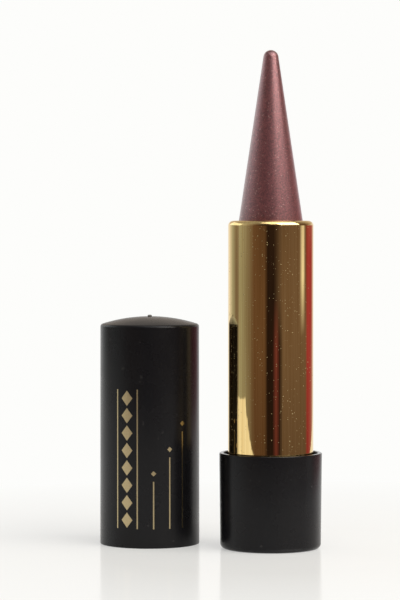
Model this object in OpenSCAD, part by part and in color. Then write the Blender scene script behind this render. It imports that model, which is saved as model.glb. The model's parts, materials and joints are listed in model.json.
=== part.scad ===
// Swivel case with a kohl bullet: it stands twisted up, with its cap standing beside it.
// The axis of the case is Z, and the case stands on the plane z = 0.

/* [Gold sleeve] */
// Outer diameter of the sleeve
sleeve_d = 13.5; // [12.5:0.1:15]
// Thickness of the sleeve's metal
sleeve_wall = 0.3; // [0.2:0.01:0.35]
// Length of the sleeve that shows above the rim of the base
sleeve_show = 36.6; // [35.5:0.1:45]
// Outer radius of the edge that is rolled inward at the top
sleeve_roll_r = 0.8; // [0.5:0.05:1]
// Gap between the kohl and the edge of the opening
mouth_gap = 0.165; // [0.1:0.005:0.3]

/* [Base cup] */
// Gap between the sleeve and the rim of the base
recess_gap = 0.68; // [0.4:0.02:1]
// Thickness of the wall at the rim
rim_wall = 0.67; // [0.5:0.01:1]
// Amount by which the radius shrinks from the rim to the foot
base_draft = 0.15; // [0:0.01:0.2]
// Height of the base
base_h = 15.1; // [14:0.1:20]
// Rounding of the bottom edge
base_edge_r = 0.8; // [0.3:0.05:1.2]
// Thickness of the floor
base_floor = 1.4; // [1:0.05:2]
// Thickness of the wall below the sleeve
lower_wall = 0.85; // [0.7:0.05:1]
// Diameter of the shallow recess under the floor
foot_recess_d = 12.6; // [6:0.1:13]
// Depth of the shallow recess under the floor
foot_recess = 0.3; // [0.1:0.05:0.5]
// Height of the socket that takes the foot of the slotted tube
socket_h = 6.9; // [4:0.1:7.8]
// Thickness of the socket's wall
socket_wall = 0.7; // [0.5:0.05:0.9]
// Gap between the foot and its socket
socket_gap = 0.02; // [0.01:0.005:0.04]
// Number of ribs between the socket and the wall
rib_count = 8; // [4:1:12]
// Thickness of each rib
rib_t = 0.6; // [0.4:0.05:0.8]

/* [Swivel] */
// Rise of the carrier in one turn of the sleeve
lead = 14; // [10:0.5:18]
// Diameter of the lugs on the carrier
lug_d = 1.6; // [1.2:0.05:1.8]
// Gap on each side of a lug in its slots
lug_gap = 0.1; // [0.05:0.01:0.15]
// Running gap between the round walls that slide or turn on each other
run_gap = 0.04; // [0.03:0.005:0.06]
// Gap between pieces that are fixed in each other
fixed_gap = 0.03; // [0.01:0.005:0.05]
// Gap along the axis between ends that turn on each other
end_gap = 0.1; // [0.05:0.01:0.15]
// Wall of the spiral sleeve
spiral_wall = 0.45; // [0.4:0.01:0.5]
// Plain length of the spiral sleeve above its slots
spiral_collar = 3.5; // [2:0.1:5]
// Wall of the slotted tube
tube_wall = 0.38; // [0.3:0.01:0.4]
// Height of the snap bead that holds the spiral sleeve down
snap_r = 0.25; // [0.15:0.01:0.3]
// Thickness of the flange that the sleeves turn on
flange_t = 0.8; // [0.5:0.05:1.2]
// Diameter of the slotted tube's foot
foot_d = 10.8; // [10:0.1:11]
// Wall of the hollow foot
foot_wall = 1; // [0.7:0.05:1.4]
// Thickness of the rubber drag ring
drag_ring_t = 0.54; // [0.4:0.01:0.7]
// Height of the drag ring above the flange
drag_rise = 1.2; // [0.8:0.05:1.4]
// Height of the slotted tube's neck above the flange
neck_h = 3.3; // [2.6:0.1:8]

/* [Carrier] */
// Wall of the carrier's cup
carrier_wall = 0.37; // [0.3:0.01:0.4]
// Thickness of the carrier's floor
carrier_floor = 1; // [0.6:0.05:1.6]
// Diameter of the hole in the carrier's floor
carrier_vent_d = 3; // [1:0.1:6]
// Distance from the carrier's rim to the sleeve's lip when it is wound up
carrier_stop = 0.8; // [0.3:0.05:1.5]

/* [Kohl] */
// Depth of the tip below the sleeve's edge when it is wound down
tip_depth = 1.2; // [0.5:0.1:3]
// Depth of the cone's wide end below the sleeve's edge when it is wound up
cone_root = 0.5; // [0.3:0.1:1]
// Radius of the round tip
tip_r = 1.2; // [0.3:0.01:1.5]
// Depth of the stub that the cup holds
stub_h = 8.6; // [5:0.1:10]

/* [Cap] */
// Gap between the sleeve and the cap's bore
cap_gap = 0.12; // [0.08:0.01:0.2]
// Thickness of the cap's wall at the mouth
cap_wall = 1.08; // [0.8:0.02:1.4]
// Amount by which the radius shrinks from the mouth to the shoulder
cap_draft = 0.05; // [0:0.01:0.15]
// Height of the cap without the gate mark
cap_h = 36.4; // [32:0.1:45]
// Thickness of the top at its centre
cap_top_t = 1.3; // [1:0.05:2]
// Radius of the shallow dome
dome_r = 25; // [20:0.5:60]
// Rounding of the shoulder
shoulder_r = 0.5; // [0.2:0.05:1.2]
// Depth of the wider lead-in at the mouth
lead_in_h = 5; // [2:0.1:8]
// Extra gap in the lead-in
lead_in_gap = 0.2; // [0.16:0.01:0.3]
// Number of grip ribs in the bore
grip_count = 6; // [3:1:12]
// Height of the grip ribs' lower ends above the lead-in
grip_rise = 5; // [1:0.5:8]
// Length of the grip ribs
grip_h = 12; // [4:0.5:14]
// Radius of the grip ribs' round section
grip_r = 0.3; // [0.2:0.01:0.4]
// Diameter of the gate mark on the dome
gate_d = 0.7; // [0.3:0.05:1.5]
// Height of the gate mark
gate_h = 0.25; // [0.1:0.05:0.5]
// Place of the cap to the left of the case
cap_x = -19.2; // [-40:0.1:-17.5]
// Place of the cap behind the axis of the case
cap_y = 6.4; // [-10:0.1:20]

/* [Hidden] */
$fn = 96;

// Length by which a cut runs past the face that it opens
past = 1;
// Rounding of thin moulded edges
edge = 0.15;

// Radii of the nested tubes, from the sleeve inwards to the kohl
sleeve_r = sleeve_d / 2;
sleeve_in_r = sleeve_r - sleeve_wall;
spiral_r = sleeve_in_r - fixed_gap;
spiral_in_r = spiral_r - spiral_wall;
tube_r = spiral_in_r - run_gap;
tube_in_r = tube_r - tube_wall;
carrier_r = tube_in_r - run_gap;
carrier_in_r = carrier_r - carrier_wall;
kohl_r = carrier_in_r - fixed_gap;
mouth_r = kohl_r + mouth_gap;

// Radii of the base, from the rim to the socket
recess_r = sleeve_r + recess_gap;
base_rim_r = recess_r + rim_wall;
base_foot_r = base_rim_r - base_draft;
hollow_r = base_foot_r - lower_wall;
foot_r = foot_d / 2;
socket_r = foot_r + socket_gap;
socket_out_r = socket_r + socket_wall;

// Heights in the base
rim_z = base_h - edge;
socket_top = base_floor + socket_h;
flange_top = socket_top + flange_t;
foot_bottom = base_floor + 2 * end_gap;
drag_z = flange_top + drag_rise;
flange_r = (hollow_r + recess_r) / 2;
foot_in_r = foot_r - foot_wall;

// Heights of the sleeve's top, the carrier and its lugs when wound up
sleeve_bottom = flange_top + 2 * end_gap;
sleeve_top = base_h + sleeve_show;
lip_under = sleeve_top - sleeve_wall;
carrier_top = lip_under - carrier_stop;
stub_bottom = carrier_top - stub_h;
carrier_bottom = stub_bottom - carrier_floor;
lug_r = lug_d / 2;
lug_z = carrier_bottom + carrier_floor / 2 + lug_r;
lug_reach = sleeve_in_r - 2 * end_gap;
slot_r = lug_r + lug_gap;

// Travel of the carrier down to the neck, and the heights of the kohl that it carries
neck_top = flange_top + neck_h;
travel = carrier_bottom - neck_top - 6 * end_gap;
tip_top = sleeve_top + travel - tip_depth;
cone_z = sleeve_top - cone_root;

// Heights of the slotted tube and the spiral sleeve
tube_top = lip_under - 3 * end_gap;
spiral_bottom = flange_top + end_gap;
spiral_top = lug_z + slot_r + spiral_collar;
snap_z = spiral_top + end_gap + snap_r;

// Radii and heights of the cap
cap_bore_r = sleeve_r + cap_gap;
cap_mouth_r = cap_bore_r + cap_wall;
cap_top_r = cap_mouth_r - cap_draft;
lead_in_r = cap_bore_r + lead_in_gap;
cap_ceiling = cap_h - cap_top_t;
bore_fillet = 0.5;

// Gold sleeve: thin tube whose top edge is rolled inward to a lip
module gold_sleeve() {
  corner_r = sleeve_r - sleeve_roll_r;
  corner_z = sleeve_top - sleeve_roll_r;
  lip_r = mouth_r + sleeve_wall / 2;
  color([0.83, 0.66, 0.3])
  rotate_extrude() {
    translate([sleeve_in_r, sleeve_bottom]) square([sleeve_wall, corner_z - sleeve_bottom]);
    translate([corner_r, corner_z]) {
      intersection() {
        difference() {
          circle(sleeve_roll_r);
          circle(sleeve_roll_r - sleeve_wall);
        }
        square(sleeve_roll_r + past);
      }
    }
    translate([lip_r, lip_under]) square([corner_r - lip_r, sleeve_wall]);
    translate([lip_r, lip_under + sleeve_wall / 2]) circle(sleeve_wall / 2);
  }
}

// Base: drafted cup with a socket, ribs round it, and a recess that the sleeve stands in
module base_cup() {
  color([0.05, 0.05, 0.055])
  union() {
    rotate_extrude() {
      difference() {
        base_outline();
        base_hollows();
      }
      base_rim();
    }
    for (i = [0 : rib_count - 1]) {
      rotate(i * 360 / rib_count) socket_rib();
    }
  }
}

// Outer outline of the base up to its rim, with its rounded bottom edge
module base_outline() {
  edge_r = base_foot_r - base_edge_r;
  polygon([
    [0, 0], [edge_r, 0], [edge_r, base_edge_r],
    [base_foot_r, base_edge_r], [base_rim_r, rim_z], [0, rim_z]
  ]);
  translate([edge_r, base_edge_r]) circle(base_edge_r);
}

// Section of the recess, the socket's bore, the hollow round the socket and the recess in the foot
module base_hollows() {
  translate([0, socket_top]) square([recess_r, base_h]);
  translate([0, base_floor]) square([socket_r, base_h]);
  translate([socket_out_r, base_floor]) square([hollow_r - socket_out_r, socket_h + past]);
  translate([0, -past]) square([foot_recess_d / 2, foot_recess + past]);
}

// Section of the rounded edge of the rim
module base_rim() {
  intersection() {
    union() {
      for (r = [recess_r + edge, base_rim_r - edge]) {
        translate([r, rim_z]) circle(edge);
      }
      translate([recess_r + edge, rim_z]) square([rim_wall - 2 * edge, edge]);
    }
    translate([recess_r, rim_z]) square([rim_wall, edge]);
  }
}

// One rib, a little lower than the socket, with its ends sunk in the socket's wall and the outer wall
module socket_rib() {
  inner = (socket_r + socket_out_r) / 2;
  outer = (hollow_r + recess_r) / 2;
  low = base_floor / 2;
  high = socket_top - 2 * end_gap;
  translate([inner, -rib_t / 2, low]) cube([outer - inner, rib_t, high - low]);
}

// Kohl: cone with a round tip, on the stub that the carrier holds
module kohl_cone() {
  tip_z = tip_top - tip_r;
  slope = atan(kohl_r / (tip_z - cone_z)) - asin(tip_r / norm([kohl_r, tip_z - cone_z]));
  touch_r = tip_r * cos(slope);
  touch_z = tip_z + tip_r * sin(slope);
  color([0.36, 0.19, 0.2])
  rotate_extrude() {
    polygon([[0, stub_bottom], [kohl_r, stub_bottom], [kohl_r, cone_z], [touch_r, touch_z], [0, touch_z]]);
    intersection() {
      translate([0, tip_z]) circle(tip_r);
      translate([0, touch_z]) square([tip_r, tip_r]);
    }
  }
}

// Carrier: vented cup with two lugs that reach through the upright slots into the helical ones
module carrier_cup() {
  color([0.8, 0.79, 0.75])
  difference() {
    union() {
      translate([0, 0, carrier_bottom]) cylinder(r = carrier_r, h = carrier_top - carrier_bottom);
      for (side = [0, 180]) {
        rotate([0, 90, side]) translate([-lug_z, 0, carrier_in_r]) {
          cylinder(r = lug_r, h = lug_reach - carrier_in_r);
        }
      }
    }
    translate([0, 0, stub_bottom]) cylinder(r = carrier_in_r, h = stub_h + past);
    translate([0, 0, carrier_bottom - past]) cylinder(d = carrier_vent_d, h = carrier_floor + 2 * past);
  }
}

// Slotted tube: hollow foot, flange, grooved neck, and guide tube with a snap bead
module slotted_tube() {
  color([0.86, 0.85, 0.82])
  difference() {
    rotate_extrude() {
      translate([foot_in_r, foot_bottom]) square([foot_wall, socket_top - foot_bottom]);
      translate([foot_in_r, socket_top]) square([flange_r - foot_in_r, flange_t]);
      difference() {
        translate([foot_in_r, flange_top]) square([tube_r - foot_in_r, neck_top - flange_top]);
        drag_groove();
      }
      translate([tube_in_r, neck_top]) square([tube_wall, tube_top - neck_top]);
      intersection() {
        translate([tube_r, snap_z]) circle(snap_r);
        translate([tube_in_r, snap_z - snap_r]) square(tube_wall + 2 * snap_r);
      }
    }
    for (side = [0, 180]) {
      rotate(side) upright_slot();
    }
  }
}

// Section of the groove that holds the drag ring
module drag_groove() {
  depth = drag_ring_t + fixed_gap;
  width = drag_ring_t + 2 * fixed_gap;
  translate([tube_r - depth, drag_z - width / 2]) square([depth + past, width]);
}

// Cutter for one upright slot with round ends
module upright_slot() {
  reach = tube_r + past;
  for (z = [lug_z - travel, lug_z]) {
    translate([0, 0, z]) rotate([0, 90, 0]) cylinder(r = slot_r, h = reach);
  }
  translate([0, -slot_r, lug_z - travel]) cube([reach, 2 * slot_r, travel]);
}

// Spiral sleeve: tube with two helical slots that drive the lugs up and down
module spiral_sleeve() {
  spiral_h = spiral_top - spiral_bottom;
  color([0.84, 0.83, 0.79])
  difference() {
    translate([0, 0, spiral_bottom]) cylinder(r = spiral_r, h = spiral_h);
    translate([0, 0, spiral_bottom - past]) cylinder(r = spiral_in_r, h = spiral_h + 2 * past);
    for (side = [0, 180]) {
      rotate(side) spiral_slot();
    }
  }
}

// Cutter for one right-hand helical slot, as wide as the lug and its gaps measured across the slot
module spiral_slot() {
  slot_h = travel + 2 * slot_r;
  turn = 360 * slot_h / lead;
  mid_r = (spiral_r + spiral_in_r) / 2;
  climb = atan(lead / (2 * PI * mid_r));
  half = slot_r / sin(climb) / mid_r * 180 / PI;
  inner = spiral_in_r - lug_gap * 2;
  outer = (spiral_r + lug_gap) / cos(half);
  start = -360 * (travel + slot_r) / lead;
  translate([0, 0, lug_z - travel - slot_r]) rotate(start) {
    linear_extrude(height = slot_h, twist = -turn, slices = ceil(turn / 9), segments = 4) {
      polygon([for (p = [[inner, -half], [outer, -half], [outer, half], [inner, half]])
        p[0] * [cos(p[1]), sin(p[1])]
      ]);
    }
  }
}

// Drag ring: rubber ring that fills its groove and rubs on the spiral sleeve
module drag_ring() {
  ring_r = drag_ring_t / 2;
  color([0.12, 0.12, 0.12])
  rotate_extrude() translate([tube_r + run_gap / 2 - ring_r, drag_z]) circle(ring_r);
}

// Cap: drafted shell with grip ribs in its bore
module cap() {
  color([0.05, 0.05, 0.055])
  translate([cap_x, cap_y, 0]) {
    rotate_extrude() {
      difference() {
        cap_outline();
        cap_hollow();
      }
    }
    for (i = [0 : grip_count - 1]) {
      rotate((i + 0.5) * 360 / grip_count) {
        translate([sleeve_r + fixed_gap + grip_r, 0, lead_in_h + grip_rise]) {
          cylinder(r = grip_r, h = grip_h);
        }
      }
    }
  }
}

// Outer outline of the cap: drafted side, rounded shoulder, shallow dome and gate mark
module cap_outline() {
  dome_z = cap_h - dome_r;
  round_r = cap_top_r - shoulder_r;
  round_z = dome_z + sqrt(pow(dome_r - shoulder_r, 2) - pow(round_r, 2));
  meet_r = round_r * dome_r / (dome_r - shoulder_r);
  polygon([[0, 0], [cap_mouth_r - edge, 0], [cap_mouth_r, edge], [cap_top_r, round_z], [0, round_z]]);
  translate([round_r, round_z]) circle(shoulder_r);
  intersection() {
    translate([0, dome_z]) circle(dome_r, $fn = 360);
    translate([0, round_z]) square([meet_r, cap_h]);
  }
  translate([0, cap_ceiling]) square([gate_d / 2, cap_top_t + gate_h]);
}

// Hollow of the cap: lead-in, bore, and flat ceiling with a rounded corner
module cap_hollow() {
  corner_r = cap_bore_r - bore_fillet;
  corner_z = cap_ceiling - bore_fillet;
  translate([0, -past]) square([lead_in_r, lead_in_h + past]);
  square([cap_bore_r, corner_z]);
  square([corner_r, cap_ceiling]);
  translate([corner_r, corner_z]) circle(bore_fillet);
}

cap();
base_cup();
gold_sleeve();
kohl_cone();
carrier_cup();
slotted_tube();
spiral_sleeve();
drag_ring();
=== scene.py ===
import json
import math

import bmesh
import bpy
from mathutils import Matrix, Vector


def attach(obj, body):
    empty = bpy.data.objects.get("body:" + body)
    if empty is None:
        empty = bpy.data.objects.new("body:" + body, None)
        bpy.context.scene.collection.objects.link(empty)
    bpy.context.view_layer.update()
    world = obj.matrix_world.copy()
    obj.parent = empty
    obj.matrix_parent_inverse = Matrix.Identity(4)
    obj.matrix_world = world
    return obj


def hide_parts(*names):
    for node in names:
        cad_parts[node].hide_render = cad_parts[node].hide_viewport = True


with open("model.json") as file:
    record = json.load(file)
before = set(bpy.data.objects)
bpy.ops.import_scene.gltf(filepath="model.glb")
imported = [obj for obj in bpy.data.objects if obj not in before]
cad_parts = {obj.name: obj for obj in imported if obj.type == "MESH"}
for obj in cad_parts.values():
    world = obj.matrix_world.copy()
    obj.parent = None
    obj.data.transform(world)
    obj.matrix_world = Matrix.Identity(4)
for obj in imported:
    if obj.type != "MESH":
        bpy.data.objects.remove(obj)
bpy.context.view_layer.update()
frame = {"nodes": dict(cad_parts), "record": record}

mm = 0.001      # m
mergeDistance = 0.0005      # mm, below which two points of a profile are one
sharpEdge = 35      # degrees, above which an edge is shaded sharp
mounts = {mount["name"]: mount for mount in frame["record"]["mounts"]}
capAxis = Vector(mounts["cap_mouth"]["pos_m"][:2] + [0])      # where the cap stands, on the table
caseAxis = Vector(mounts["foot"]["pos_m"])
print("frame loaded")


# Shared helpers

def hexColour(code):
    channels = [int(code[i:i + 2], 16) / 255 for i in (1, 3, 5)]
    return [c / 12.92 if c <= 0.04045 else ((c + 0.055) / 1.055) ** 2.4 for c in channels] + [1]


def addNode(tree, kind, settings=None, links=None):
    # A socket goes by its name, or by its number where the node has several of that name
    node = tree.nodes.new(kind)
    for name, value in (settings or {}).items():
        if isinstance(name, str) and hasattr(node, name):
            setattr(node, name, value)
        else:
            node.inputs[name].default_value = value
    for socket, source in (links or {}).items():
        tree.links.new(source, node.inputs[socket])
    return node


def newMaterial(name):
    material = bpy.data.materials.new(name)
    material.use_nodes = True
    material.node_tree.nodes.clear()
    return material, material.node_tree


def arc(centre, radius, start, end, count):
    turns = [math.radians(start + (end - start) * i / count) for i in range(count + 1)]
    return [(centre[0] + radius * math.cos(t), centre[1] + radius * math.sin(t)) for t in turns]


def turnProfile(mesh, profile, closed, steps):
    ring = [mesh.verts.new((r, 0, z)) for r, z in profile]
    edges = [mesh.edges.new(pair) for pair in zip(ring, ring[1:])]
    if closed:
        edges.append(mesh.edges.new((ring[-1], ring[0])))
    bmesh.ops.spin(mesh, geom=ring + edges, cent=(0, 0, 0), axis=(0, 0, 1),
                   angle=math.tau, steps=steps, use_merge=True)
    bmesh.ops.remove_doubles(mesh, verts=mesh.verts, dist=mergeDistance)
    bmesh.ops.recalc_face_normals(mesh, faces=mesh.faces)


def finishPiece(mesh, name, axis, node, body, material):
    for face in mesh.faces:
        face.smooth = True
    for edge in mesh.edges:
        if len(edge.link_faces) == 2 and edge.calc_face_angle() > math.radians(sharpEdge):
            edge.smooth = False
    bmesh.ops.transform(mesh, matrix=Matrix.Translation(axis) @ Matrix.Scale(mm, 4), verts=mesh.verts)
    data = bpy.data.meshes.new(name)
    mesh.to_mesh(data)
    mesh.free()
    data.materials.append(material)
    piece = bpy.data.objects.new(name, data)
    bpy.context.scene.collection.objects.link(piece)
    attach(piece, body)
    if node:
        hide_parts(node)
    print(name, "made:", len(data.polygons), "faces")


# Materials

capLook = {
    "plastic": "#131316", "plasticWorn": "#181718", "roughness": 0.28, "roughnessSpread": 0.04, "ior": 1.3,
    "cloud": 6, "cloudSpan": (0.3, 0.7),      # mm, size of the patches of wear, and the noise they run over
    "grain": 0.12, "grainDepth": 0.01,      # mm, spark-eroded texture of the mould
    "scuff": "#2b2a2a", "scuffSize": 0.9,      # mm
    "scuffLevel": 0.73, "scuffFade": 0.06,      # noise above which a scuff shows, and its soft edge
    "lip": 36.42, "lipFade": 0.08,      # mm, height above which the torn end of the gate lies, painted light grey as a highlight
    # The cap's lip colour is a painted highlight on the gate nub, grey on black plastic
    "lipPlasticAndHighlight": "#8a8884", "lipRoughness": 0.6,
}
baseLook = dict(capLook, roughness=0.26, lip=15.0, lipPlasticAndHighlight="#131316", lipRoughness=0.1)      # polished rim


def mouldedAbs(name, look):
    # Moulded black ABS with an eroded texture: dark, with a broad satin sheen, another roughness at the lip,
    # and there a painted highlight on the cap's gate nub
    material, tree = newMaterial(name)
    place = addNode(tree, "ShaderNodeTexCoord").outputs["Object"]
    cloud = addNode(tree, "ShaderNodeTexNoise", {"Scale": 1 / (look["cloud"] * mm), "Detail": 4.0},
                    {"Vector": place})
    colour = addNode(tree, "ShaderNodeMix", {"data_type": "RGBA", 6: hexColour(look["plastic"]),
                     7: hexColour(look["plasticWorn"])}, {0: cloud.outputs["Fac"]})
    gloss = addNode(tree, "ShaderNodeMapRange", {
        "From Min": look["cloudSpan"][0], "From Max": look["cloudSpan"][1],
        "To Min": look["roughness"] - look["roughnessSpread"],
        "To Max": look["roughness"] + look["roughnessSpread"]}, {"Value": cloud.outputs["Fac"]})
    scuffs = addNode(tree, "ShaderNodeTexNoise", {"Scale": 1 / (look["scuffSize"] * mm), "Detail": 1.0},
                     {"Vector": place})
    scuffed = addNode(tree, "ShaderNodeMapRange", {
        "From Min": look["scuffLevel"], "From Max": look["scuffLevel"] + look["scuffFade"]},
        {"Value": scuffs.outputs["Fac"]})
    rubbed = addNode(tree, "ShaderNodeMix", {"data_type": "RGBA", 7: hexColour(look["scuff"])},
                     {0: scuffed.outputs["Result"], 6: colour.outputs[2]})
    level = addNode(tree, "ShaderNodeSeparateXYZ", None, {0: place})
    lip = addNode(tree, "ShaderNodeMapRange", {
        "From Min": look["lip"] * mm, "From Max": (look["lip"] + look["lipFade"]) * mm},
        {"Value": level.outputs["Z"]})
    # Above the lip height the colour changes: a painted highlight on the cap's gate nub, the plain plastic on
    # the base's rim
    body = addNode(tree, "ShaderNodeMix", {"data_type": "RGBA", 7: hexColour(look["lipPlasticAndHighlight"])},
                   {0: lip.outputs["Result"], 6: rubbed.outputs[2]})
    rough = addNode(tree, "ShaderNodeMix", {3: look["lipRoughness"]},
                    {0: lip.outputs["Result"], 2: gloss.outputs["Result"]})
    grain = addNode(tree, "ShaderNodeTexNoise", {
        "Scale": 1 / (look["grain"] * mm), "Detail": 3.0, "Roughness": 0.6}, {"Vector": place})
    bump = addNode(tree, "ShaderNodeBump", {"Strength": 0.25, "Distance": look["grainDepth"] * mm},
                   {"Height": grain.outputs["Fac"]})
    shader = addNode(tree, "ShaderNodeBsdfPrincipled", {"IOR": look["ior"]}, {
        "Base Color": body.outputs[2], "Roughness": rough.outputs[0], "Normal": bump.outputs["Normal"]})
    addNode(tree, "ShaderNodeOutputMaterial", None, {"Surface": shader.outputs["BSDF"]})
    return material


capPlastic = mouldedAbs("matt moulded ABS, cap", capLook)
basePlastic = mouldedAbs("matt moulded ABS, base", baseLook)

sleeveLook = {
    "gold": "#f4d797", "goldDeep": "#e6c583", "roughness": 0.02,
    "drawing": 0.22, "drawingDepth": 0.006,      # mm, width and depth of the lines left by drawing the tube
    "drawingRun": 100,      # the lines are this many times as long as wide
    "streakSpan": (0.35, 0.65),      # noise from the deeper to the lighter dye
    "dust": "#a08c5e", "dustRoughness": 0.7, "dustSpacing": 0.36, "dustRadius": 0.05,      # mm
    "dustDrift": 5, "dustClear": 0.14,      # mm, and the higher the second, the more of the sleeve is clean
}


def anodisedAluminium(name, look):
    # Bright-dipped aluminium, anodised gold: a clear mirror with faint drawing lines and a few specks of dust
    material, tree = newMaterial(name)
    place = addNode(tree, "ShaderNodeTexCoord").outputs["Object"]
    drawn = addNode(tree, "ShaderNodeMapping", {"Scale": (1, 1, 1 / look["drawingRun"])}, {"Vector": place})
    lines = addNode(tree, "ShaderNodeTexNoise", {"Scale": 1 / (look["drawing"] * mm), "Detail": 2.0},
                    {"Vector": drawn.outputs["Vector"]})
    bump = addNode(tree, "ShaderNodeBump", {"Strength": 1.0, "Distance": look["drawingDepth"] * mm},
                   {"Height": lines.outputs["Fac"]})
    streak = addNode(tree, "ShaderNodeMapRange", {
        "From Min": look["streakSpan"][0], "From Max": look["streakSpan"][1]},
        {"Value": lines.outputs["Fac"]})
    dye = addNode(tree, "ShaderNodeMix", {"data_type": "RGBA", 6: hexColour(look["goldDeep"]),
                  7: hexColour(look["gold"])}, {0: streak.outputs["Result"]})
    cells = addNode(tree, "ShaderNodeTexVoronoi", {"Scale": 1 / (look["dustSpacing"] * mm)},
                    {"Vector": place})
    chance = addNode(tree, "ShaderNodeSeparateColor", None, {"Color": cells.outputs["Color"]})
    drift = addNode(tree, "ShaderNodeTexNoise", {"Scale": 1 / (look["dustDrift"] * mm), "Detail": 2.0},
                    {"Vector": place})
    size = addNode(tree, "ShaderNodeMath", {"operation": "MULTIPLY_ADD", 2: -look["dustClear"]},
                   {0: chance.outputs["Red"], 1: drift.outputs["Fac"]})
    # The size runs up to about 0.5, and a speck of half that has the dust's radius
    reach = addNode(tree, "ShaderNodeMath", {
        "operation": "MULTIPLY", 1: look["dustRadius"] / 0.25 / look["dustSpacing"]}, {0: size.outputs[0]})
    speck = addNode(tree, "ShaderNodeMath", {"operation": "LESS_THAN"},
                    {0: cells.outputs["Distance"], 1: reach.outputs[0]})
    colour = addNode(tree, "ShaderNodeMix", {"data_type": "RGBA", 7: hexColour(look["dust"])},
                     {0: speck.outputs[0], 6: dye.outputs[2]})
    metal = addNode(tree, "ShaderNodeMath", {"operation": "SUBTRACT", 0: 1.0}, {1: speck.outputs[0]})
    gloss = addNode(tree, "ShaderNodeMapRange", {
        "To Min": look["roughness"], "To Max": look["dustRoughness"]}, {"Value": speck.outputs[0]})
    shader = addNode(tree, "ShaderNodeBsdfPrincipled", None, {
        "Base Color": colour.outputs[2], "Metallic": metal.outputs[0], "Roughness": gloss.outputs["Result"],
        "Normal": bump.outputs["Normal"]})
    addNode(tree, "ShaderNodeOutputMaterial", None, {"Surface": shader.outputs["BSDF"]})
    return material


sleeveGold = anodisedAluminium("gold anodised aluminium", sleeveLook)

kohlLook = {
    # The sparkle colour is a painted glint on a small share of the pearl flakes
    "wax": "#965558", "deep": "#66393d", "sparkle": "#a87d7b", "sparkleShare": 0.02,
    "metallic": 0.58, "roughness": 0.36, "coatRoughness": 0.4, "coatIor": 1.65,
    "pearl": 0.16, "pearlDepth": 0.012,      # mm, width and height of the flakes
    "ring": 0.3, "ringDepth": 0.02, "ringWaver": 0.12,      # mm, faint wavy rings left by the mould
}


def pearlWax(name, look):
    # Moulded wax with pearl pigment: a dark plum body whose flakes give it a soft metallic sheen, with a few
    # painted glints
    material, tree = newMaterial(name)
    place = addNode(tree, "ShaderNodeTexCoord").outputs["Object"]
    flakes = addNode(tree, "ShaderNodeTexVoronoi", {"Scale": 1 / (look["pearl"] * mm)}, {"Vector": place})
    flake = addNode(tree, "ShaderNodeSeparateColor", None, {"Color": flakes.outputs["Color"]})
    colour = addNode(tree, "ShaderNodeMix", {"data_type": "RGBA", 6: hexColour(look["deep"]),
                     7: hexColour(look["wax"])}, {0: flake.outputs["Red"]})
    # A small share of the flakes are painted lighter, as painted glints of the pearl
    rare = addNode(tree, "ShaderNodeMath", {"operation": "GREATER_THAN", 1: 1 - look["sparkleShare"]},
                   {0: flake.outputs["Blue"]})
    glint = addNode(tree, "ShaderNodeMix", {"data_type": "RGBA", 7: hexColour(look["sparkle"])},
                    {0: rare.outputs[0], 6: colour.outputs[2]})
    level = addNode(tree, "ShaderNodeMapping", {"Scale": (look["ringWaver"], look["ringWaver"], 1)},
                    {"Vector": place})
    rings = addNode(tree, "ShaderNodeTexNoise", {"Scale": 1 / (look["ring"] * mm), "Detail": 3.0},
                    {"Vector": level.outputs["Vector"]})
    bump = addNode(tree, "ShaderNodeBump", {"Strength": 0.35, "Distance": look["pearlDepth"] * mm},
                   {"Height": flake.outputs["Green"]})
    ringBump = addNode(tree, "ShaderNodeBump", {"Strength": 0.6, "Distance": look["ringDepth"] * mm},
                       {"Height": rings.outputs["Fac"], "Normal": bump.outputs["Normal"]})
    shader = addNode(tree, "ShaderNodeBsdfPrincipled", {
        "Metallic": look["metallic"], "Roughness": look["roughness"], "Coat Weight": 1.0,
        "Coat Roughness": look["coatRoughness"], "Coat IOR": look["coatIor"]},
        {"Base Color": glint.outputs[2], "Normal": ringBump.outputs["Normal"]})
    addNode(tree, "ShaderNodeOutputMaterial", None, {"Surface": shader.outputs["BSDF"]})
    return material


kohlWax = pearlWax("pearl kohl wax", kohlLook)

foilLook = {
    "foil": "#d9c79c", "worn": "#b7a67f", "roughness": 0.3,
    "grain": 0.15, "grainDepth": 0.01,      # mm, the cap's texture as it shows in the foil
}


def stampedFoil(name, look):
    # Hot-stamped metal foil on a textured moulding: pale gold, broken up a little by the grain under it
    material, tree = newMaterial(name)
    place = addNode(tree, "ShaderNodeTexCoord").outputs["Object"]
    grain = addNode(tree, "ShaderNodeTexNoise", {"Scale": 1 / (look["grain"] * mm), "Detail": 3.0},
                    {"Vector": place})
    colour = addNode(tree, "ShaderNodeMix", {"data_type": "RGBA", 6: hexColour(look["worn"]),
                     7: hexColour(look["foil"])}, {0: grain.outputs["Fac"]})
    bump = addNode(tree, "ShaderNodeBump", {"Strength": 0.5, "Distance": look["grainDepth"] * mm},
                   {"Height": grain.outputs["Fac"]})
    shader = addNode(tree, "ShaderNodeBsdfPrincipled", {"Metallic": 1.0, "Roughness": look["roughness"]},
                     {"Base Color": colour.outputs[2], "Normal": bump.outputs["Normal"]})
    addNode(tree, "ShaderNodeOutputMaterial", None, {"Surface": shader.outputs["BSDF"]})
    return material


capFoil = stampedFoil("hot-stamped gold foil", foilLook)

innerLook = {
    "acetal": "#e4e0d4", "acetalRoughness": 0.35, "rubber": "#1c1c1c", "rubberRoughness": 0.6,
    "roughnessSpread": 0.06, "ior": 1.48, "cloud": 2,      # mm, size of the patches of unevenness
}


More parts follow.
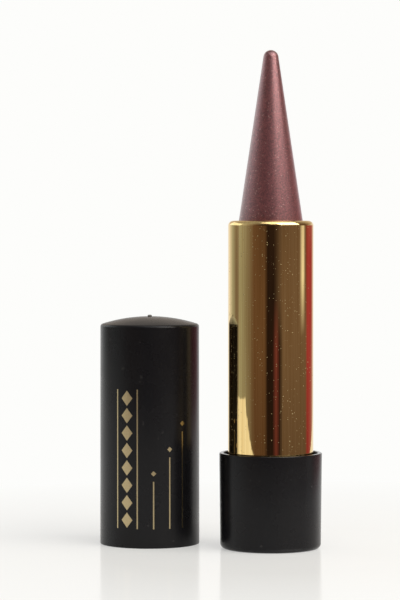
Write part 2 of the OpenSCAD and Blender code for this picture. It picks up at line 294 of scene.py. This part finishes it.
def plainMoulded(name, colour, roughness, look):
    # Natural acetal or nitrile rubber, as moulded: one body colour with a faint unevenness in its gloss
    material, tree = newMaterial(name)
    place = addNode(tree, "ShaderNodeTexCoord").outputs["Object"]
    cloud = addNode(tree, "ShaderNodeTexNoise", {"Scale": 1 / (look["cloud"] * mm), "Detail": 4.0},
                    {"Vector": place})
    gloss = addNode(tree, "ShaderNodeMapRange", {
        "To Min": roughness - look["roughnessSpread"], "To Max": roughness + look["roughnessSpread"]},
        {"Value": cloud.outputs["Fac"]})
    shader = addNode(tree, "ShaderNodeBsdfPrincipled", {"Base Color": hexColour(colour), "IOR": look["ior"]},
                     {"Roughness": gloss.outputs["Result"]})
    addNode(tree, "ShaderNodeOutputMaterial", None, {"Surface": shader.outputs["BSDF"]})
    return material


acetal = plainMoulded("natural acetal", innerLook["acetal"], innerLook["acetalRoughness"], innerLook)
nitrile = plainMoulded("nitrile rubber", innerLook["rubber"], innerLook["rubberRoughness"], innerLook)
innerMaterials = {
    "carrier_cup": acetal, "slotted_tube": acetal, "spiral_sleeve": acetal, "drag_ring": nitrile,
}
for nodeName, material in innerMaterials.items():
    cadMesh = frame["nodes"][nodeName].data
    cadMesh.materials.clear()
    cadMesh.materials.append(material)
print("materials made")


# Pieces, each profile in mm from its own axis

capSizes = {
    "mouthRadius": 7.95, "topRadius": 7.9, "boreRadius": 6.87, "leadRadius": 7.07, "leadHeight": 5.0,
    "ceiling": 35.1, "fillet": 0.5, "edge": 0.15, "top": 36.4, "domeRadius": 25.0, "shoulder": 0.5,
    "gateRadius": 0.35, "gateHeight": 0.25, "gateEdge": 0.2,
    "ribs": 6, "ribCircle": 7.08, "ribRadius": 0.3, "ribLow": 10.0, "ribHeight": 12.0, "steps": 256,
}


def buildCap(s):
    mesh = bmesh.new()
    domeCentre = (0, s["top"] - s["domeRadius"])
    roundR = s["topRadius"] - s["shoulder"]
    roundZ = domeCentre[1] + math.sqrt((s["domeRadius"] - s["shoulder"]) ** 2 - roundR ** 2)
    lean = math.degrees(math.asin(roundR / (s["domeRadius"] - s["shoulder"])))
    gateLean = math.degrees(math.asin(s["gateRadius"] / s["domeRadius"]))
    gateTop = s["top"] + s["gateHeight"]
    profile = [(0, s["ceiling"])]
    profile += arc((s["boreRadius"] - s["fillet"], s["ceiling"] - s["fillet"]), s["fillet"], 90, 0, 8)
    profile += [(s["boreRadius"], s["leadHeight"]), (s["leadRadius"], s["leadHeight"])]
    profile += arc((s["leadRadius"] + s["edge"], s["edge"]), s["edge"], 180, 270, 5)
    profile += arc((s["mouthRadius"] - s["edge"], s["edge"]), s["edge"], 270, 360, 5)
    profile += arc((roundR, roundZ), s["shoulder"], 0, 90 - lean, 12)
    profile += arc(domeCentre, s["domeRadius"], 90 - lean, 90 - gateLean, 24)[1:]
    profile += arc((s["gateRadius"] - s["gateEdge"], gateTop - s["gateEdge"]), s["gateEdge"], 0, 90, 4)
    profile += [(0, gateTop)]
    turnProfile(mesh, profile, False, s["steps"])
    for i in range(s["ribs"]):
        turn = Matrix.Rotation(math.tau * (i + 0.5) / s["ribs"], 4, "Z")
        place = Matrix.Translation((s["ribCircle"], 0, s["ribLow"] + s["ribHeight"] / 2))
        bmesh.ops.create_cone(mesh, cap_ends=True, segments=16, radius1=s["ribRadius"],
                              radius2=s["ribRadius"], depth=s["ribHeight"], matrix=turn @ place)
    finishPiece(mesh, "cap_shell", capAxis, "cap", "cap", capPlastic)


ornament = {
    # Angles are degrees round the cap from its front, and share is a lozenge's half height to the pitch
    "chain": {"angle": -26, "low": 3.1, "high": 25.1, "count": 8, "halfWidth": 0.95, "share": 0.44,
              "rail": 1.75},
    "rules": [{"angle": 5.4, "high": 10.6}, {"angle": 24.4, "high": 14.4}, {"angle": 41.5, "high": 18.4}],
    "line": 0.2, "bead": 0.42, "thickness": 0.02,      # mm
    "beadGap": 3, "cells": 6,      # beads from the rule's end to the bead's middle, and cells across a plate
}


def buildOrnament(s, cap):
    mesh = bmesh.new()
    slope = (cap["mouthRadius"] - cap["topRadius"]) / cap["top"]

    def plate(angle, x, z, halfWidth, halfHeight, turned):
        size = Matrix.Diagonal((halfWidth, 1, halfHeight, 1))
        flat = Matrix.Rotation(math.pi / 2, 4, "X") @ Matrix.Rotation(math.pi / 4 if turned else 0, 4, "Z")
        reach = math.sqrt(0.5) if turned else 1      # half a side, so that both plates span 1 to each side
        made = bmesh.ops.create_grid(mesh, x_segments=s["cells"], y_segments=s["cells"], size=reach,
                                     matrix=size @ flat)
        for vert in made["verts"]:
            height = z + vert.co.z
            radius = cap["mouthRadius"] - slope * height - s["thickness"] / 2
            turn = math.radians(angle) + (x + vert.co.x) / radius
            vert.co = (radius * math.sin(turn), -radius * math.cos(turn), height)

    chain = s["chain"]
    pitch = (chain["high"] - chain["low"]) / chain["count"]
    middle = (chain["low"] + chain["high"]) / 2
    for i in range(chain["count"]):
        height = chain["low"] + (i + 0.5) * pitch
        plate(chain["angle"], 0, height, chain["halfWidth"], chain["share"] * pitch, True)
    for side in (-1, 1):
        plate(chain["angle"], side * chain["rail"], middle, s["line"] / 2, middle - chain["low"], False)
    for rule in s["rules"]:
        half = (rule["high"] - chain["low"]) / 2
        plate(rule["angle"], 0, chain["low"] + half, s["line"] / 2, half, False)
        plate(rule["angle"], 0, rule["high"] + s["beadGap"] * s["bead"], s["bead"], s["bead"], True)
    bmesh.ops.recalc_face_normals(mesh, faces=mesh.faces)
    # The plates are open sheets, so each face that looks towards the cap's axis is turned round
    level = Vector((1, 1, 0))
    inward = [face for face in mesh.faces if face.normal.dot(face.calc_center_median() * level) < 0]
    bmesh.ops.reverse_faces(mesh, faces=inward)
    bmesh.ops.solidify(mesh, geom=mesh.faces[:], thickness=-s["thickness"])
    finishPiece(mesh, "foil_ornament", capAxis, None, "cap", capFoil)


baseSizes = {
    "rimRadius": 8.1, "footRadius": 7.95, "height": 15.1, "edge": 0.15, "footEdge": 0.8,
    "recessRadius": 7.43, "ledge": 8.3, "hollowRadius": 7.1, "floor": 1.4,
    "socketOuter": 6.12, "socketInner": 5.42, "footRecess": 6.3, "footDepth": 0.3,
    "ribs": 8, "ribThickness": 0.6, "ribTop": 8.1, "steps": 256,
}


def buildBase(s):
    mesh = bmesh.new()
    rimZ = s["height"] - s["edge"]
    profile = [(0, s["footDepth"]), (s["footRecess"], s["footDepth"])]
    profile += arc((s["footRecess"] + s["edge"], s["edge"]), s["edge"], 180, 270, 4)
    profile += arc((s["footRadius"] - s["footEdge"], s["footEdge"]), s["footEdge"], 270, 360, 12)
    profile += arc((s["rimRadius"] - s["edge"], rimZ), s["edge"], 0, 90, 6)
    profile += arc((s["recessRadius"] + s["edge"], rimZ), s["edge"], 90, 180, 6)
    profile += [(s["recessRadius"], s["ledge"]), (s["hollowRadius"], s["ledge"])]
    profile += [(s["hollowRadius"], s["floor"]), (s["socketOuter"], s["floor"])]
    profile += [(s["socketOuter"], s["ledge"]), (s["socketInner"], s["ledge"])]
    profile += [(s["socketInner"], s["floor"]), (0, s["floor"])]
    turnProfile(mesh, profile, False, s["steps"])
    inner = (s["socketInner"] + s["socketOuter"]) / 2
    outer = (s["hollowRadius"] + s["recessRadius"]) / 2
    low = s["floor"] / 2
    for i in range(s["ribs"]):
        turn = Matrix.Rotation(math.tau * i / s["ribs"], 4, "Z")
        place = Matrix.Translation(((inner + outer) / 2, 0, (low + s["ribTop"]) / 2))
        size = Matrix.Diagonal((outer - inner, s["ribThickness"], s["ribTop"] - low, 1))
        bmesh.ops.create_cube(mesh, size=1, matrix=turn @ place @ size)
    finishPiece(mesh, "base_shell", caseAxis, "base_cup", "base", basePlastic)


sleeveSizes = {
    "radius": 6.75, "wall": 0.3, "bottom": 9.3, "top": 51.7, "roll": 0.8, "lipRadius": 5.425, "steps": 384,
}


def buildSleeve(s):
    mesh = bmesh.new()
    rollCentre = (s["radius"] - s["roll"], s["top"] - s["roll"])
    profile = [(s["radius"] - s["wall"], s["bottom"]), (s["radius"], s["bottom"])]
    profile += arc(rollCentre, s["roll"], 0, 90, 20)
    profile += arc((s["lipRadius"], s["top"] - s["wall"] / 2), s["wall"] / 2, 90, 270, 10)
    profile += arc(rollCentre, s["roll"] - s["wall"], 90, 0, 12)
    turnProfile(mesh, profile, True, s["steps"])
    finishPiece(mesh, "sleeve_tube", caseAxis, "gold_sleeve", "sleeve", sleeveGold)


coneSizes = {
    "radius": 5.11, "bottom": 42.0, "edge": 0.12, "root": 51.2, "top": 78.5, "tip": 1.2, "steps": 256,
}


def buildCone(s):
    mesh = bmesh.new()
    tipCentre = (0, s["top"] - s["tip"])
    rise = tipCentre[1] - s["root"]
    slope = math.degrees(math.atan2(s["radius"], rise) - math.asin(s["tip"] / math.hypot(s["radius"], rise)))
    profile = [(0, s["bottom"]), (s["radius"] - s["edge"], s["bottom"])]
    profile += [(s["radius"], s["bottom"] + s["edge"]), (s["radius"], s["root"])]
    profile += arc(tipCentre, s["tip"], slope, 90, 14)
    turnProfile(mesh, profile, False, s["steps"])
    finishPiece(mesh, "kohl_bullet", caseAxis, "kohl_cone", "carrier", kohlWax)


buildCap(capSizes)
buildOrnament(ornament, capSizes)
buildBase(baseSizes)
buildSleeve(sleeveSizes)
buildCone(coneSizes)


# Floor, world, lamps and camera

stage = {
    "left": -0.42, "right": 0.14, "front": -0.125, "back": 1.6,      # m, edges of the white sheet
    "sheet": "#e6e6e3", "white": "#fdfdfb", "sheen": 0.2, "sheenFar": 0.12, "sheenRoughness": 0.12,
    "glowNear": 0.5, "glowFar": 1.0, "near": 0.03, "far": 0.11,      # shares of plain white at distances in m
}


def raysOf(tree, kinds):
    # 1 for rays of these kinds and 0 for all others, among them the light that falls on things
    path = addNode(tree, "ShaderNodeLightPath")
    found = path.outputs[kinds[0]]
    for kind in kinds[1:]:
        either = addNode(tree, "ShaderNodeMath", {"operation": "MAXIMUM"}, {0: found, 1: path.outputs[kind]})
        found = either.outputs[0]
    return found


def coatedBoard(s):
    # Coated white board: matt with a faint sheen near the object, and plain white to the eye far from it
    material, tree = newMaterial("coated white board")
    paper = addNode(tree, "ShaderNodeBsdfDiffuse", {"Color": hexColour(s["sheet"])})
    glow = addNode(tree, "ShaderNodeEmission", {"Color": hexColour(s["white"]), "Strength": 1.0})
    sheen = addNode(tree, "ShaderNodeBsdfGlossy", {
        "Color": hexColour("#ffffff"), "Roughness": s["sheenRoughness"]})
    place = addNode(tree, "ShaderNodeTexCoord").outputs["Object"]
    away = addNode(tree, "ShaderNodeVectorMath", {"operation": "LENGTH"}, {0: place})
    share = addNode(tree, "ShaderNodeMapRange", {
        "From Min": s["near"], "From Max": s["far"], "To Min": s["glowNear"], "To Max": s["glowFar"]},
        {"Value": away.outputs["Value"]})
    rays = raysOf(tree, ["Is Camera Ray", "Is Transmission Ray", "Is Glossy Ray"])
    glowShare = addNode(tree, "ShaderNodeMath", {"operation": "MULTIPLY"},
                        {0: share.outputs["Result"], 1: rays})
    lit = addNode(tree, "ShaderNodeMixShader", None, {
        0: glowShare.outputs[0], 1: paper.outputs[0], 2: glow.outputs[0]})
    fade = addNode(tree, "ShaderNodeMapRange", {
        "From Min": s["near"], "From Max": s["sheenFar"], "To Min": s["sheen"], "To Max": 0.0},
        {"Value": away.outputs["Value"]})
    top = addNode(tree, "ShaderNodeMixShader", None, {
        0: fade.outputs["Result"], 1: lit.outputs[0], 2: sheen.outputs[0]})
    addNode(tree, "ShaderNodeOutputMaterial", None, {"Surface": top.outputs[0]})
    return material


def buildFloor(s):
    mesh = bmesh.new()
    size = Matrix.Diagonal((s["right"] - s["left"], s["back"] - s["front"], 1, 1))
    place = Matrix.Translation(((s["left"] + s["right"]) / 2, (s["front"] + s["back"]) / 2, 0))
    bmesh.ops.create_grid(mesh, x_segments=1, y_segments=1, size=0.5, matrix=place @ size)
    data = bpy.data.meshes.new("white sheet")
    mesh.to_mesh(data)
    mesh.free()
    data.materials.append(coatedBoard(s))
    floor = bpy.data.objects.new("white_sheet", data)
    bpy.context.scene.collection.objects.link(floor)


# A plain room round the sheet, made up of a few walls. Each row is a height in degrees, with the bearings in
# degrees at which one wall goes over into the next, where 0 is towards the camera and 90 to the right
wallColours = {
    "board": "#ffffff", "cream": "#d8cabc", "pale": "#aab0ac", "daylight": "#bcbcb8", "brown": "#6a5244",
    "corner": "#281e1e", "cloth": "#7c4246", "warm": "#76645c", "curtain": "#a8444e", "ceiling": "#9a9996",
}
room = [
    {"height": -14, "sights": [
        (-140, "board"), (-115, "pale"), (-75, "pale"), (-44, "corner"), (120, "corner"), (165, "board")]},
    {"height": -1.6, "sights": [
        (-150, "board"), (-125, "pale"), (-104, "warm"), (-94, "pale"), (-48, "brown"), (-18, "brown"),
        (-10, "corner"), (4, "corner"), (14, "cloth"), (22, "corner"), (32, "warm"), (106, "warm"),
        (115, "curtain"), (140, "curtain"), (160, "board")]},
    {"height": 0, "sights": [
        (-150, "board"), (-125, "pale"), (-104, "warm"), (-94, "pale"), (-48, "brown"), (-18, "brown"),
        (-10, "corner"), (8, "corner"), (30, "warm"), (84, "warm"), (91, "board"), (97, "board"),
        (105, "brown"), (115, "curtain"), (140, "curtain"), (160, "board")]},
    {"height": 8, "sights": [
        (-150, "board"), (-125, "daylight"), (-80, "daylight"), (-45, "brown"), (-25, "corner"),
        (110, "brown"), (150, "board")]},
    {"height": 14, "sights": [
        (-150, "cream"), (-125, "daylight"), (-80, "daylight"), (-45, "brown"), (-25, "corner"),
        (110, "brown"), (150, "cream")]},
    {"height": 70, "sights": [(0, "ceiling")]},
]


def wallRow(tree, share, sights):
    ramp = addNode(tree, "ShaderNodeValToRGB", None, {"Fac": share})
    stops = ramp.color_ramp.elements
    stops.remove(stops[1])
    for i, (angle, wall) in enumerate(sights):
        position = 0.5 + angle / 360
        stop = stops[0] if i == 0 else stops.new(position)
        stop.position = position
        stop.color = hexColour(wallColours[wall])
    return ramp.outputs["Color"]


def buildWorld(rows):
    world = bpy.data.worlds.new("studio room")
    bpy.context.scene.world = world
    world.use_nodes = True
    tree = world.node_tree
    tree.nodes.clear()
    way = addNode(tree, "ShaderNodeTexCoord")
    parts = addNode(tree, "ShaderNodeSeparateXYZ", None, {0: way.outputs["Generated"]})
    front = addNode(tree, "ShaderNodeMath", {"operation": "MULTIPLY", 1: -1.0}, {0: parts.outputs["Y"]})
    bearing = addNode(tree, "ShaderNodeMath", {"operation": "ARCTAN2"},
                      {0: parts.outputs["X"], 1: front.outputs[0]})
    share = addNode(tree, "ShaderNodeMath", {"operation": "MULTIPLY_ADD", 1: 1 / math.tau, 2: 0.5},
                    {0: bearing.outputs[0]})
    height = addNode(tree, "ShaderNodeMath", {"operation": "ARCSINE"}, {0: parts.outputs["Z"]})
    degrees = addNode(tree, "ShaderNodeMath", {"operation": "DEGREES"}, {0: height.outputs[0]})
    colour = wallRow(tree, share.outputs[0], rows[0]["sights"])
    for below, row in zip(rows, rows[1:]):
        climb = addNode(tree, "ShaderNodeMapRange", {"From Min": below["height"], "From Max": row["height"]},
                        {"Value": degrees.outputs[0]})
        walls = wallRow(tree, share.outputs[0], row["sights"])
        mixed = addNode(tree, "ShaderNodeMix", {"data_type": "RGBA"},
                        {0: climb.outputs["Result"], 6: colour, 7: walls})
        colour = mixed.outputs[2]
    rays = raysOf(tree, ["Is Camera Ray", "Is Transmission Ray"])      # a reflection sees the room instead
    view = addNode(tree, "ShaderNodeMix", {"data_type": "RGBA", 7: hexColour(stage["white"])},
                   {0: rays, 6: colour})
    background = addNode(tree, "ShaderNodeBackground", {"Strength": 1.0}, {"Color": view.outputs[2]})
    addNode(tree, "ShaderNodeOutputWorld", None, {"Surface": background.outputs[0]})


# Bearings and heights in degrees as in the room, distances and sizes in m, power in W
lamps = [
    {"name": "window", "bearing": 54, "height": 38, "distance": 0.5, "size": (0.5, 0.34), "power": 2.0,
     "colour": "#fffaf4"},
    {"name": "left_fill", "bearing": -118, "height": 22, "distance": 0.6, "size": (0.6, 0.28), "power": 0.6,
     "colour": "#e0ecf0"},
    {"name": "overhead", "bearing": 40, "height": 64, "distance": 0.7, "size": (0.9, 0.6), "power": 2.9,
     "colour": "#ffffff"},
]
lampTarget = Vector((-0.008, 0.003, 0.035))      # m, between the cap and the sleeve


def addLamp(s, target):
    data = bpy.data.lights.new(s["name"], "AREA")
    data.shape = "RECTANGLE"
    data.size, data.size_y = s["size"]
    data.energy = s["power"]
    data.color = hexColour(s["colour"])[:3]
    bearing, height = math.radians(s["bearing"]), math.radians(s["height"])
    reach = math.cos(height)
    way = Vector((math.sin(bearing) * reach, -math.cos(bearing) * reach, math.sin(height)))
    lamp = bpy.data.objects.new(s["name"], data)
    lamp.location = target + way * s["distance"]
    lamp.rotation_euler = way.to_track_quat("Z", "Y").to_euler()
    bpy.context.scene.collection.objects.link(lamp)


cameraSizes = {
    "place": (-11.15, -415.0, 51.65), "pitch": 1.72, "lens": 158.0, "sensor": 36,      # mm and degrees
    "clipStart": 0.01, "clipEnd": 20,      # m
}


def addCamera(s):
    data = bpy.data.cameras.new("camera")
    data.lens = s["lens"]
    data.sensor_width = s["sensor"]
    data.clip_start = s["clipStart"]
    data.clip_end = s["clipEnd"]
    camera = bpy.data.objects.new("camera", data)
    camera.location = Vector(s["place"]) * mm
    camera.rotation_euler = (math.radians(90 - s["pitch"]), 0, 0)
    bpy.context.scene.collection.objects.link(camera)
    bpy.context.scene.camera = camera


buildFloor(stage)
buildWorld(room)
for lampSettings in lamps:
    addLamp(lampSettings, lampTarget)
addCamera(cameraSizes)
bpy.context.scene.view_settings.view_transform = "Standard"
print("stage made")
